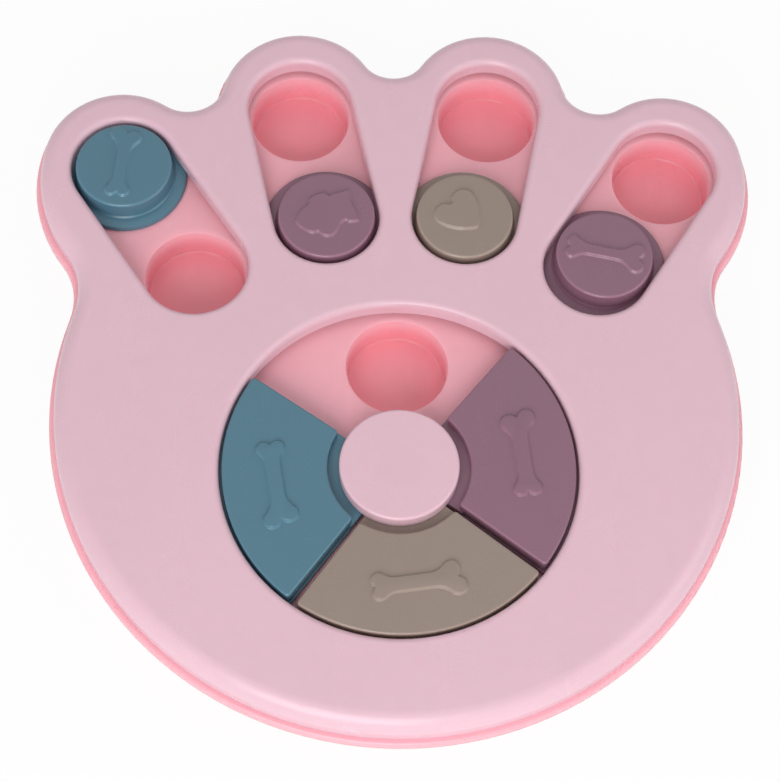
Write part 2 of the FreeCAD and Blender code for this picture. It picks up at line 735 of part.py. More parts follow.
def emboss(body, draw, top, x, y, turn):
    """Raised figure with sloping sides on a flat top, moved to x, y and turned."""
    sketches = []
    for name, height, grow in (("emblem_foot", top, "0"),
                               ("emblem_crest", "%s + emblem_rise" % top, "-1 * emblem_inset")):
        sketch = new_sketch(body, name, height)
        link(sketch, "AttachmentOffset.Base.x", x)
        link(sketch, "AttachmentOffset.Base.y", y)
        sketch.setExpression("AttachmentOffset.Rotation.Angle", bound(turn) + " * 1 deg")
        draw(sketch, grow)
        sketches.append(sketch)
    emblem = body.newObject("PartDesign::AdditiveLoft", "emblem")
    emblem.Profile = sketches[0]
    emblem.Sections = [sketches[1]]
    emblem.Ruled = True
    doc.recompute()


def build_slider(label, side, pair, rest, draw, turn):
    """Hollow round button with a flange that runs under the cover's lip, and a raised figure on top."""
    x, y = slot_point(side, pair, rest)
    body = new_body(label, x=x, y=y)
    inside = BUTTON + " - button_wall"
    revolve(body, "button", [
        ("0", "deck_height"),
        (BUTTON, "deck_height"),
        (BUTTON + " + button_draft", FLANGE_TOP),
        (SLIDER_FLANGE, FLANGE_TOP),
        (SLIDER_FLANGE, GLIDE),
        (inside + " + button_draft", GLIDE),
        (inside, "deck_height - button_wall"),
        ("0", "deck_height - button_wall")])
    top = number("deck_height")
    ledge = number(FLANGE_TOP)
    rim = number(SLIDER_FLANGE)
    soften(body, "button_rounding", "button_edge", lambda edge: level(edge, top))
    soften(body, "flange_rounding", "flange_edge",
           lambda edge: level(edge, ledge) and abs(radius_of(edge) - rim) < 1e-4, kind="Chamfer")
    emboss(body, draw, "deck_height", "0", "0", turn)
    return body


def build_tile(label, turn):
    """Hollow sector with a flange under the cover, a lower shelf under the hub cap and a raised bone."""
    body = new_body(label)
    body.setExpression("Placement.Rotation.Angle", bound(turn) + " * 1 deg")
    inner = "post_radius + post_clearance"
    block = new_sketch(body, "block_outline", GLIDE)
    sector(block, TILE_INNER, TILE_OUTER, "tile_side_inset")
    add(body, "Pad", "block", block, "%s - %s" % (TILE_TOP, GLIDE))
    low, top = number(GLIDE), number(TILE_TOP)
    soften(body, "corner_rounding", "tile_corner", lambda edge: upright(edge, low, top))
    soften(body, "top_rounding", "tile_edge", lambda edge: level(edge, top))
    flange = new_sketch(body, "flange_outline", GLIDE)
    sector(flange, inner, TILE_FLANGE, "tile_side_gap")
    add(body, "Pad", "flange", flange, "flange_rise")
    shelf = new_sketch(body, "shelf_outline", GLIDE)
    sector(shelf, inner, TILE_INNER + " + tile_wall", "tile_side_gap")
    add(body, "Pad", "shelf", shelf, "%s - %s" % (SHELF_TOP, GLIDE))
    hollow = new_sketch(body, "hollow_outline", GLIDE)
    sector(hollow, inner + " + tile_wall", TILE_OUTER + " - tile_wall", "tile_side_inset + tile_wall")
    add(body, "Pocket", "shelf_hollow", hollow, "%s - tile_wall - %s" % (SHELF_TOP, GLIDE), reverse=True)
    deep = new_sketch(body, "deep_outline", GLIDE)
    sector(deep, TILE_INNER + " + tile_wall", TILE_OUTER + " - tile_wall", "tile_side_inset + tile_wall")
    add(body, "Pocket", "block_hollow", deep, "%s - tile_wall - %s" % (TILE_TOP, GLIDE), reverse=True)
    # the bone lies across the tile, with its wide end's leaning lobe towards the hub
    emboss(body, lambda sketch, grow: bone(sketch, grow, "tile_bone", "tile_bone_hollow", "tile_bone_lean"),
           TILE_TOP, "(%s + %s) / 2" % (TILE_INNER, TILE_OUTER), "0", "90")
    return body


def button_bone(lean):
    return lambda sketch, grow: bone(sketch, grow, "button_bone", "button_bone_hollow", lean)


pieces = [
    build_cover(),
    build_tray(),
    build_hub_cap(),
    build_slider("slider_blue_bone", *TOES[0], "blue_rest", button_bone("blue_lean"), "blue_figure_turn"),
    build_slider("slider_purple_fish", *TOES[1], "fish_rest", fish, "fish_figure_turn"),
    build_slider("slider_grey_heart", *TOES[2], "heart_rest", heart, "heart_figure_turn"),
    build_slider("slider_purple_bone", *TOES[3], "bone_rest", button_bone("purple_lean"), "bone_figure_turn"),
    build_tile("tile_blue", "blue_turn"),
    build_tile("tile_grey", "grey_turn"),
    build_tile("tile_purple", "purple_turn"),
    build_screw("hub_screw", ("0", "0"), POST_CEILING, "hub_head_radius", "head_rise", "hub_shank"),
]
pieces += [build_screw("cover_screw_%d" % index, spot, SEAT, "head_radius", "head_rise", "shank_length")
           for index, spot in enumerate(SCREWS, 1)]
pieces += [build_foot("foot_%d" % index, spot) for index, spot in enumerate(CUP_FEET + TOWER_FEET, 1)]

doc.recompute()
for item in doc.Objects:
    if "Invalid" in item.State or "Error" in item.State:
        raise RuntimeError("%s is %s" % (item.Label, item.State))
for piece in pieces:
    if piece.Shape.isNull() or not piece.Shape.isValid() or len(piece.Shape.Solids) != 1:
        raise RuntimeError("%s is not one valid solid" % piece.Label)
for piece in pieces:
    piece.Shape.exportStep("parts/%s.step" % piece.Label)
    print(piece.Label, round(piece.Shape.Volume / 1000.0, 2), "cm3")
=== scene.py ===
import json
import math

import bmesh
import bpy
import numpy as np
from bpy.props import FloatProperty, FloatVectorProperty, PointerProperty
from mathutils import Matrix, Vector


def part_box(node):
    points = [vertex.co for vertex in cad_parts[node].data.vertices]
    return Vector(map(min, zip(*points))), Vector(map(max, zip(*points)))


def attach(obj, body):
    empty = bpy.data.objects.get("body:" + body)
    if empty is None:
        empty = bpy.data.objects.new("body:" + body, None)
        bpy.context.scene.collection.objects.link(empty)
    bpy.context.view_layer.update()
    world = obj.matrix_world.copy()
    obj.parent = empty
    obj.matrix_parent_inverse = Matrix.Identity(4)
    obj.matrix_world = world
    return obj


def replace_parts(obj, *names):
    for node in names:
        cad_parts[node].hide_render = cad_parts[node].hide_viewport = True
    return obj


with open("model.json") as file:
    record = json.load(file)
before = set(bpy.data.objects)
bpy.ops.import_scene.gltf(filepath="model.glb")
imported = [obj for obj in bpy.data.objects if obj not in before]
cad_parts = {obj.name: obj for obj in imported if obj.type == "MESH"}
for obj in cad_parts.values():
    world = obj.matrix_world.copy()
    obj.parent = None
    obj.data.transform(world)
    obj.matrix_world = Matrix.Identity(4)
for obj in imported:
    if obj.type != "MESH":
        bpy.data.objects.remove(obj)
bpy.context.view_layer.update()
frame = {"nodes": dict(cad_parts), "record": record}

# Paw-shaped treat puzzle: finishes, soft edges and raised figures of the moulded pieces, detailed screws and
# feet, floor, light and camera. Metres, +Z up, toes towards +Y, origin on the floor under the toy's middle.

bl_info = {
    "name": "Paw Treat Puzzle",
    "version": (1, 0, 0),
    "blender": (4, 5, 0),
    "location": "View3D > Sidebar > Paw Puzzle",
    "description": "Finishes, raised figures, fasteners, floor and light of a paw-shaped treat puzzle",
    "category": "Object",
}

MM = 0.001

# Middle of the hub, heights of the cover's deck and of the tiles' tops, and radius of the hub cap's boss
HUB = Vector((0.0, -0.0431, 0.0))
DECK = 0.033
TILE_TOP = 0.0322
STEM_RADIUS = 0.008

# Margin for finding points of the frame's meshes, angle in degrees above which an edge stays sharp, and the
# number of sides of a screw or a foot
NEAR = 0.05 * MM
CREASE = 38.0
SIDES = 48

# Outlines are in millimetres. This is the fish's, about its button's middle.
FISH = ((-11.6, -2.2), (-9.7, 1.7), (-7.1, 4.3), (-6.8, 6.4), (-4.6, 8.3), (-1.8, 9.2), (-0.1, 9.2),
        (0.8, 8.2), (2.0, 8.9), (5.0, 9.7), (8.2, 10.8), (8.9, 9.3), (9.2, 6.4), (10.1, 4.3), (11.5, 0.7),
        (12.2, -2.2), (11.7, -3.2), (8.2, -3.7), (6.9, -3.0), (5.4, -4.4), (4.3, -7.0), (2.7, -9.0),
        (0.5, -9.7), (-1.8, -9.0), (-3.1, -7.9), (-4.6, -8.3), (-7.1, -7.6), (-9.7, -5.8), (-11.2, -4.1))

# One side of the heart, which points along +X, from its cleft, and its tip
HEART_SIDE = ((-5.5, 0.0), (-7.3, 1.8), (-7.9, 4.1), (-7.3, 6.4), (-5.6, 8.2), (-3.6, 8.8), (-1.9, 8.6),
              (1.1, 7.4), (3.9, 5.6), (6.2, 3.3), (7.9, 0.9))
HEART_TIP = (8.1, 0.0)

# Bones: the wide and the small pair of lobes, each with its radius and its distance from the middle line, the
# wide pair's lean in degrees, and the shaft's width. The throat is the radius between shaft and lobe.
BLUE_BONE = {"length": 29.5, "wide": (3.35, 2.95), "small": (2.75, 2.25), "lean": -14.0, "waist": 5.7}
PURPLE_BONE = {"length": 29.5, "wide": (3.35, 3.0), "small": (2.75, 2.3), "lean": 4.0, "waist": 5.2}
TILE_BONE = {"length": 32.4, "wide": (3.6, 3.2), "small": (3.0, 2.45), "lean": 14.0, "waist": 6.4}
THROAT = 7.0

# Toe slots in millimetres from the hub: near end's centre, lean from +Y in degrees, length between centres
SLOTS = ((72.5, 78.6, 33.2, 49.3), (25.2, 99.2, 11.8, 48.0))
SLOT_HALF = 19.3 * MM

# Each ring of points round a cup's rim, by radius and height in millimetres, in the frame and as made here
CUP_RIM = (((19.1, 23.6), (19.9, 23.6)), ((18.18, 23.22), (18.3, 22.95)), ((17.8, 22.3), (17.75, 21.2)))

# Radius that holds all of a cup's rim, and the circle round the hub of the four cups that the tiles cover
CUP_REACH = 19.3 * MM
CUP_CIRCLE = 42.5 * MM

# Height of a cup's floor, radius inside which the floor has no edge, height of the bevel round it, and how
# much of that comes off
CUP_FLOOR = 11.0 * MM
CUP_CORE = 10.0 * MM
CUP_BEVEL = 1.2 * MM
CUP_BEVEL_CUT = CUP_BEVEL * 0.55

# Profile of a screw's head, in shares of its radius and its rise, and of a foot's sole and side, in shares of
# its radius and of the groove's depth
HEAD_PROFILE = ((0.0, 0.0), (0.5, 0.0), (0.68, 0.04), (0.84, 0.2), (0.95, 0.42), (1.0, 0.68), (1.0, 0.94),
                (0.96, 1.0))
FOOT_PROFILE = ((0.0, 1.6), (0.28, 1.6), (0.36, 0.3), (0.4, 0.0), (0.68, 0.0), (0.7, 0.3), (0.72, 1.0),
                (0.76, 1.0), (0.78, 0.3), (0.8, 0.0), (0.91, 0.0), (0.96, 0.3), (0.99, 1.0), (1.0, 2.0))

# Lamps by name, share of the key light's power, place and width, and the point that the camera looks at
LAMPS = (("front_lamp", 1.0, (-0.25, -1.0, 0.75), 0.8), ("side_lamp", 0.2, (0.9, -0.3, 0.6), 0.7))
AIM = Vector((-0.00292, -0.01473, DECK))

# Turn of each tile about the hub, in degrees
TILE_TURNS = {"tile_blue": 188.8, "tile_grey": -82.4, "tile_purple": 6.2}
BODY_OF = {node: body for body, nodes in frame["record"]["behaviour"]["bodies"].items() for node in nodes}


def linear(colour):
    """Colour as a screen shows it, turned into light."""
    return tuple(part / 12.92 if part <= 0.04045 else ((part + 0.055) / 1.055) ** 2.4 for part in colour)


class Wire:
    """Output of a shader node that takes part in expressions."""

    def __init__(self, recipe, node, socket):
        self.recipe = recipe
        self.node = node
        self.socket = socket

    def pick(self, name):
        """Another output of the same node."""
        return Wire(self.recipe, self.node, self.node.outputs[name])

    def larger(self, other):
        """The larger of this value and another."""
        return self.work("MAXIMUM", self, other)

    def work(self, operation, *values):
        """Math node, or Vector Math where a colour or a vector takes part."""
        wide = any(value.socket.type != "VALUE" if isinstance(value, Wire) else isinstance(value, tuple)
                   for value in values)
        if not wide:
            return self.recipe.node("ShaderNodeMath", {"operation": operation}, dict(enumerate(values)))
        spread = [(value, value, value) if isinstance(value, (int, float)) else value for value in values]
        return self.recipe.node("ShaderNodeVectorMath", {"operation": operation}, dict(enumerate(spread)))

    def __add__(self, other):
        return self.work("ADD", self, other)

    def __radd__(self, other):
        return self.work("ADD", other, self)

    def __sub__(self, other):
        return self.work("SUBTRACT", self, other)

    def __rsub__(self, other):
        return self.work("SUBTRACT", other, self)

    def __mul__(self, other):
        return self.work("MULTIPLY", self, other)

    def __rmul__(self, other):
        return self.work("MULTIPLY", other, self)

    def between(self, low, high):
        """0 below low, 1 above high, smooth in the middle; low may be the larger."""
        settings = {"interpolation_type": "SMOOTHSTEP"}
        values = {"Value": self, "From Min": low, "From Max": high}
        return self.recipe.node("ShaderNodeMapRange", settings, values)

    def blend(self, first, second):
        """Colour that goes from first to second as this value goes from 0 to 1."""
        settings = {"data_type": "RGBA"}
        return self.recipe.node("ShaderNodeMix", settings, {0: self, 6: first, 7: second}, 2)


class Recipe:
    """Node tree of one material, or of the world, built from calls."""

    def __init__(self, owner):
        owner.use_nodes = True
        self.owner = owner
        self.tree = owner.node_tree
        self.tree.nodes.clear()
        self.place = self.node("ShaderNodeTexCoord", output="Object")

    def node(self, kind, settings=None, values=None, output=0):
        """Adds a node: its settings first, then the values or wires of its sockets."""
        node = self.tree.nodes.new(kind)
        for name, value in (settings or {}).items():
            setattr(node, name, value)
        for name, value in (values or {}).items():
            if isinstance(value, Wire):
                self.tree.links.new(value.socket, node.inputs[name])
            elif isinstance(value, tuple) and len(value) == 3 and node.inputs[name].type == "RGBA":
                node.inputs[name].default_value = value + (1.0,)
            else:
                node.inputs[name].default_value = value
        return Wire(self, node, node.outputs[output] if node.outputs else None)

    def noise(self, scale, detail=2.0, stretch=None, roughness=0.5):
        """Noise of about one cycle per metre over scale, 0.5 in the middle."""
        where = self.place * stretch if stretch else self.place
        values = {"Vector": where, "Scale": scale, "Detail": detail, "Roughness": roughness}
        return self.node("ShaderNodeTexNoise", None, values)

    def finish(self, **values):
        """Principled shader with the given sockets, written to the material's output."""
        sockets = {name.replace("_", " ").title().replace("Ior", "IOR"): value
                   for name, value in values.items()}
        shader = self.node("ShaderNodeBsdfPrincipled", None, sockets)
        self.node("ShaderNodeOutputMaterial", None, {"Surface": shader})
        return self.owner

    def bump(self, height, distance, base=None):
        """Normal bent by a height of 0 to 1 over a distance, on top of an earlier bump."""
        values = {"Strength": 1.0, "Distance": distance, "Height": height}
        if base is not None:
            values["Normal"] = base
        return self.node("ShaderNodeBump", None, values)

    def off_axis(self, spot):
        """Distance from an upright axis through a spot."""
        flat = (self.place - (spot[0], spot[1], 0.0)) * (1.0, 1.0, 0.0)
        return self.node("ShaderNodeVectorMath", {"operation": "LENGTH"}, {0: flat}, "Value")

    def height(self):
        """Height above the ground."""
        return self.node("ShaderNodeSeparateXYZ", None, {0: self.place}, "Z")

    def seen_directly(self):
        """1 for a ray from the camera, from a reflection or through a clear piece."""
        path = self.node("ShaderNodeLightPath")
        seen = path.pick("Is Camera Ray").larger(path.pick("Is Glossy Ray"))
        return seen.larger(path.pick("Is Transmission Ray"))


def new_material(name):
    return Recipe(bpy.data.materials.new(name))


def moulded_plastic(name, colour, look, glow=0.12, sink=None, depth_shade=None, wear_and_highlight_bands=()):
    """Satin moulded plastic: faint flow clouds, spark-eroded grain, hairline scuffs and uneven gloss.

    A sink is the spot and radius of a shallow mark over a boss on the back of the wall; the mark is also
    painted a little darker as painted shade. A second colour with two heights paints shade: the first colour
    turns into it lower down, as painted shade deep in the cups. Pairs of heights mark bands of the rounded
    edges that are made smoother and painted paler, as a painted highlight.
    """
    recipe = new_material(name)
    clouds = recipe.noise(14.0, 3.0)
    mottle = recipe.noise(160.0, 2.0)
    flow = recipe.noise(38.0, 3.0, stretch=(1.0, 0.25, 1.0))
    tone = 1.0 + (clouds - 0.5) * 0.07 + (mottle - 0.5) * 0.04 + (flow - 0.5) * 0.03
    pitting = recipe.noise(1.0 / look.grain, 3.0, roughness=0.6)
    scuffs = recipe.noise(90.0, 5.0, stretch=(0.12, 6.0, 1.0), roughness=0.7).between(0.66, 0.74)
    cross = recipe.noise(80.0, 5.0, stretch=(7.0, 0.1, 1.0), roughness=0.7).between(0.68, 0.76)
    hairlines = scuffs.larger(cross)
    smears = recipe.noise(60.0, 4.0, stretch=(1.0, 0.35, 1.0))
    gloss = look.gloss + (smears - 0.5) * 0.12 + (pitting - 0.5) * 0.06 + hairlines * 0.05
    tone = tone + hairlines * 0.012
    relief = recipe.bump(pitting, look.grain_depth)
    relief = recipe.bump(hairlines * -1.0, look.scuff_depth, relief)
    if sink:
        dish = recipe.off_axis(sink[0]).between(sink[1] * 1.15, sink[1] * 0.8)
        # Painted shade: the colour over the dent is made a little darker.
        tone = tone - dish * 0.012
        relief = recipe.bump(dish * -1.0, look.sink_depth, relief)
    # Painted highlight: bands of the rounded edges are painted paler; their lower roughness is real rubbing.
    for low, high in wear_and_highlight_bands:
        soft = (high - low) * 0.3
        smooth_and_highlit_edge = recipe.height().between(low, low + soft) * recipe.height().between(high, high - soft)
        tone = tone + smooth_and_highlit_edge * (0.6 + smears * 0.8) * look.painted_edge_highlight
        gloss = gloss - smooth_and_highlit_edge * 0.06
    shade = linear(colour)
    # Painted shade: lower down, the colour turns into the deeper second colour, deep in the cups.
    if depth_shade:
        shade = recipe.height().between(depth_shade[1], depth_shade[2]).blend(shade, linear(depth_shade[0]))
    return recipe.finish(base_color=tone * shade, roughness=gloss, normal=relief, subsurface_weight=glow,
                         subsurface_radius=(1.0, 0.35, 0.35), subsurface_scale=0.004, ior=1.46)


def foot_rubber(name, colour):
    """Matt rubber with dust in its pores."""
    recipe = new_material(name)
    dust = recipe.noise(220.0, 4.0)
    tone = 1.0 + (dust - 0.5) * 0.18
    pores = recipe.noise(2600.0, 2.0)
    return recipe.finish(base_color=tone * linear(colour), roughness=0.82 + (dust - 0.5) * 0.1,
                         normal=recipe.bump(pores, 0.00004))


def plated_steel(name, colour):
    """Plated steel with turned marks and a little tarnish."""
    recipe = new_material(name)
    brush = recipe.noise(900.0, 3.0, stretch=(1.0, 1.0, 0.2))
    stain = recipe.noise(260.0, 3.0)
    tone = 1.0 + (stain - 0.5) * 0.2
    return recipe.finish(base_color=tone * linear(colour), roughness=0.34 + (brush - 0.5) * 0.25,
                         metallic=0.9, normal=recipe.bump(brush, 0.00002))


def skin(rings, turn_count):
    """Closed surface over rings of points; a ring of one point closes an end."""
    points = [point for ring in rings for point in ring]
    faces = []
    first = 0
    for ring, following in zip(rings, rings[1:]):
        second = first + len(ring)
        for index in range(turn_count):
            beside = (index + 1) % turn_count
            if len(ring) == 1:
                faces.append((first, second + beside, second + index))
            elif len(following) == 1:
                faces.append((first + index, first + beside, second))
            else:
                faces.append((first + index, first + beside, second + beside, second + index))
        first = second
    return points, faces


def turned(profile, turn_count=SIDES):
    """Rings of a turned shape, from radius and height; a radius of 0 is an end on the axis."""
    rings = []
    for radius, height in profile:
        angles = [2 * math.pi * index / turn_count for index in range(turn_count if radius else 1)]
        rings.append([(radius * math.cos(angle), radius * math.sin(angle), height) for angle in angles])
    return rings


def mesh_of(name, points, faces):
    """Mesh of points and faces, with its faces turned outwards."""
    mesh = bpy.data.meshes.new(name)
    mesh.from_pydata(points, [], faces)
    work = bmesh.new()
    work.from_mesh(mesh)
    bmesh.ops.recalc_face_normals(work, faces=work.faces)
    work.to_mesh(mesh)
    work.free()
    return mesh


def seat(name, mesh, node, material, crease=CREASE):
    """Makes a piece of a mesh, smooth but for its creases, riding with a node."""
    mesh.polygons.foreach_set("use_smooth", [True] * len(mesh.polygons))
    mesh.set_sharp_from_angle(angle=math.radians(crease))
    mesh.materials.clear()
    mesh.materials.append(material)
    piece = bpy.data.objects.new(name, mesh)
    bpy.context.scene.collection.objects.link(piece)
    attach(piece, BODY_OF[node])
    return piece


def stand_for(node, mesh, material):
    """Puts a mesh, made about its node's axis with its foot at 0, in place of that node."""
    low, high = (Vector(corner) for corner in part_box(node))
    mesh.transform(Matrix.Translation(((low.x + high.x) / 2, (low.y + high.y) / 2, low.z)))
    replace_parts(seat("detailed_" + node, mesh, node, material), node)


def smooth_loop(corners, steps=5):
    """Closed curve through points of the plan."""
    spots = [Vector(corner) for corner in corners]
    count = len(spots)
    loop = []
    for index in range(count):
        before, here, after, beyond = (spots[(index + shift) % count] for shift in (-1, 0, 1, 2))
        for step in range(steps):
            share = step / steps
            square = 2 * before - 5 * here + 4 * after - beyond
            cube = 3 * here - before - 3 * after + beyond
            loop.append(here + share * 0.5 * (after - before + share * (square + share * cube)))
    return loop


def third_centre(first, first_reach, second, second_reach):
    """Point at the given distances from two centres, on the right of the way from first to second."""
    way = second - first
    along = (way.length_squared + first_reach ** 2 - second_reach ** 2) / (2 * way.length)
    aside = math.sqrt(first_reach ** 2 - along ** 2)
    way.normalize()
    return first + way * along + Vector((way.y, -way.x)) * aside


def bone_loop(length, wide, small, lean, waist, steps=9):
    """Outline of a bone along X: a wide pair of lobes that leans, a smaller pair, and a straight shaft.

    The radius of the throats leads from the shaft to the lobes.
    """
    reach, back = length / 2 - wide[0], small[0] - length / 2
    lean_x, lean_y = wide[1] * math.sin(math.radians(lean)), wide[1] * math.cos(math.radians(lean))
    lobes = [(Vector((reach + lean_x, -lean_y)), wide[0], 1), (Vector((reach - lean_x, lean_y)), wide[0], 1),
             (Vector((back, small[1])), small[0], 1), (Vector((back, -small[1])), small[0], 1)]
    throats = []
    for centre, radius, _ in lobes:
        rise = waist / 2 + THROAT
        run = math.sqrt((radius + THROAT) ** 2 - (rise - abs(centre.y)) ** 2)
        spot = Vector((centre.x - math.copysign(run, centre.x), math.copysign(rise, centre.y)))
        throats.append((spot, THROAT, -1))
    chain = [lobes[0], lobes[1], throats[1], throats[2], lobes[2], lobes[3], throats[3], throats[0]]
    ends = []
    for (here, radius, side), (after, next_radius, next_side) in zip(chain, chain[1:] + chain[:1]):
        if side != next_side:
            ends.append((here + (after - here).normalized() * radius,) * 2)
        elif side > 0:
            ends.append((third_centre(here, radius, after, next_radius),) * 2)
        else:
            down = Vector((0.0, -math.copysign(THROAT, here.y)))
            ends.append((here + down, after + down))
    loop = []
    for index, (centre, radius, side) in enumerate(chain):
        first, last = (math.atan2(*(spot - centre).yx) for spot in (ends[index - 1][1], ends[index][0]))
        sweep = (last - first) * side % (2 * math.pi) * side
        angles = [first + sweep * step / steps for step in range(steps)]
        loop += [centre + radius * Vector((math.cos(angle), math.sin(angle))) for angle in angles]
    return loop


def inset(loop, width):
    """Counter-clockwise loop drawn in by a width."""
    drawn = []
    for before, here, after in zip(loop[-1:] + loop, loop, loop[1:] + loop[:1]):
        way = (after - before).normalized()
        drawn.append(here + Vector((-way.y, way.x)) * width)
    return drawn


def laid(loop, turn=0.0, shift=(0.0, 0.0), scale=1.0):
    """Loop scaled, turned by degrees and then moved, all in millimetres, and given in metres."""
    axes = Matrix.Rotation(math.radians(turn), 2)
    return [(axes @ (spot * scale) + Vector(shift)) * MM for spot in loop]


def slider_loops():
    """Outline of each slider's figure about its button's middle, as the photograph shows it."""
    heart = [*HEART_SIDE, HEART_TIP, *((x, -y) for x, y in reversed(HEART_SIDE[1:]))]
    return {
        "slider_blue_bone": laid(bone_loop(**BLUE_BONE), 84.0, (-0.8, 1.0)),
        "slider_purple_fish": laid(smooth_loop(FISH)),
        "slider_grey_heart": laid(smooth_loop(heart), -46.6, (-1.2, 0.7), 1.05),
        "slider_purple_bone": laid(bone_loop(**PURPLE_BONE), -12.5, (0.2, 0.6)),
    }


def depth_inside(loop, spots):
    """Distance of spots from a closed loop, negative outside it."""
    start = np.array([tuple(spot) for spot in loop])
    way = np.roll(start, -1, axis=0) - start
    offset = spots[:, None] - start
    share = np.clip((offset * way).sum(-1) / (way ** 2).sum(-1), 0.0, 1.0)
    reach = np.sqrt(((offset - share[..., None] * way) ** 2).sum(-1)).min(1)
    rising = np.where(np.abs(way[:, 1]) < 1e-12, 1e-12, way[:, 1])
    passed = (offset[..., 1] >= 0) != (offset[..., 1] - way[:, 1] >= 0)
    crossings = (passed & (offset[..., 0] < way[:, 0] * offset[..., 1] / rising)).sum(1)
    return np.where(crossings % 2 == 1, reach, -reach)


def swell(depth, figures):
    """Height of a raised figure at a depth inside its outline: a soft shoulder, then a flat crest."""
    share = np.clip(depth / figures.shoulder, 0.0, 1.0)
    return figures.rise * share * share * (3 - 2 * share)


def slider_mesh(node, loop, figures):
    """Hollow button with a flange and a rounded edge, and a raised figure with soft sides."""
    low, high = (Vector(corner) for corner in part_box(node))
    top, flange = DECK - low.z, (high.x - low.x) / 2
    rise, wall, edge, bevel = figures.flange, figures.wall, figures.edge, figures.flange_bevel
    foot, crown = figures.button + figures.draft, figures.button - edge
    bulge, fillet = bevel * 0.3, edge * 0.5
    profile = [(0.0, top - wall), (figures.button - wall, top - wall), (foot - wall, 0.0), (flange, 0.0),
               (flange, rise - bevel), (flange - bulge, rise - bulge), (flange - bevel, rise),
               (foot + fillet, rise), (foot, rise + fillet)]
    steps, sides = 8, 168
    for step in range(steps + 1):
        angle = math.pi / 2 * step / steps
        profile.append((crown + edge * math.cos(angle), top - edge + edge * math.sin(angle)))
    rows = int(crown / figures.mesh_step)
    profile += [(crown * (1 - row / rows), top) for row in range(1, rows)] + [(0.0, top)]
    points, faces = skin(turned(profile, sides), sides)
    spots = np.array(points)
    crest = spots[:, 2] > top - 1e-7
    spots[crest, 2] += swell(depth_inside(loop, spots[crest, :2]), figures)
    return mesh_of(node, spots.tolist(), faces)


def node_copy(node):
    """Welded copy of a node's mesh, ready for changes."""
    work = bmesh.new()
    work.from_mesh(frame["nodes"][node].data)
    bmesh.ops.remove_doubles(work, verts=work.verts, dist=0.001 * MM)
    return work


def stand_in(node, work, material, crease=CREASE):
    """Puts a changed copy of a node's mesh in place of it, with its flats kept flat by weighted normals."""
    mesh = bpy.data.meshes.new(node)
    work.to_mesh(mesh)
    work.free()
    if "custom_normal" in mesh.attributes:
        mesh.attributes.remove(mesh.attributes["custom_normal"])
    piece = seat("detailed_" + node, mesh, node, material, crease)
    weighted = piece.modifiers.new("flats", "WEIGHTED_NORMAL")
    weighted.keep_sharp = True
    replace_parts(piece, node)


def slot_ends():
    """Near and far centres of the four toe slots."""
    ends = []
    for x, y, lean, travel in SLOTS:
        for side in (-1, 1):
            near = HUB.xy + Vector((side * x, y)) * MM
            way = Vector((side * math.sin(math.radians(lean)), math.cos(math.radians(lean))))
            ends.append((near, near + way * travel * MM))
    return ends


def soften_slots(work, sizes):
    """Widens the rounding of the slots' top edges."""
    for vert in work.verts:
        for near, far in slot_ends():
            way = far - near
            share = min(max((vert.co.xy - near).dot(way) / way.length_squared, 0.0), 1.0)
            across = vert.co.xy - (near + way * share)
            out, drop = across.length - SLOT_HALF, DECK - vert.co.z
            if -NEAR < out < sizes.slot_was + NEAR and drop < sizes.slot_was + NEAR:
                grow = sizes.slot_edge / sizes.slot_was - 1
                vert.co.xy += across.normalized() * max(out, 0.0) * grow
                vert.co.z -= drop * grow


def soften_cups(work):
    """Widens the rounding of the cups' rims and narrows the bevel round their floors."""
    spots = [spot for ends in slot_ends() for spot in ends]
    spots += [HUB.xy + Vector(way) * CUP_CIRCLE for way in ((1, 0), (0, 1), (-1, 0), (0, -1))]
    for vert in work.verts:
        spot = min(spots, key=lambda place: (vert.co.xy - place).length)
        across = vert.co.xy - spot
        radius = across.length
        if radius > CUP_REACH or vert.co.z < CUP_FLOOR - NEAR:
            continue
        for (old_radius, old_height), (new_radius, new_height) in CUP_RIM:
            if abs(radius - old_radius * MM) < NEAR and abs(vert.co.z - old_height * MM) < NEAR:
                vert.co = (*(spot + across.normalized() * new_radius * MM), new_height * MM)
        if abs(vert.co.z - CUP_FLOOR) < NEAR and radius > CUP_CORE:
            vert.co.xy = spot + across.normalized() * (radius + CUP_BEVEL_CUT)
        if abs(vert.co.z - CUP_FLOOR - CUP_BEVEL) < NEAR:
            vert.co.z -= CUP_BEVEL_CUT


def bare_tile(node, ground):
    """Tile with its raised figure taken off its top."""
    work = node_copy(node)
    figure = [vert for vert in work.verts if vert.co.z > ground + 0.01 * MM]
    bmesh.ops.delete(work, geom=figure, context="VERTS")
    rim = [edge for edge in work.edges if edge.is_boundary]
    bmesh.ops.edgeloop_fill(work, edges=rim)
    bmesh.ops.recalc_face_normals(work, faces=work.faces)
    return work


def tile_bone_mesh(turn, ground, figures):
    """Raised bone that lies across a tile, with its wide end's leaning lobe towards the hub."""
    turn = math.radians(turn)
    spot = HUB + Vector((math.cos(turn), math.sin(turn), 0.0)) * figures.tile_bone_reach
    place = Matrix.Translation(spot) @ Matrix.Rotation(turn + math.pi / 2, 4, "Z")
    bone = laid(bone_loop(**TILE_BONE))
    steps, sunk = 9, figures.rise * 0.3
    rings = [[place @ Vector((*point, ground - sunk)) for point in bone]]
    for step in range(steps + 1):
        depth = figures.shoulder * step / steps
        height = ground + float(swell(depth, figures))
        rings.append([place @ Vector((*point, height)) for point in inset(bone, depth)])
    count = len(rings[0])
    points, faces = skin(rings, count)
    last = len(points)
    return mesh_of("tile_bone", points, faces + [tuple(range(count)), tuple(range(last - count, last))])


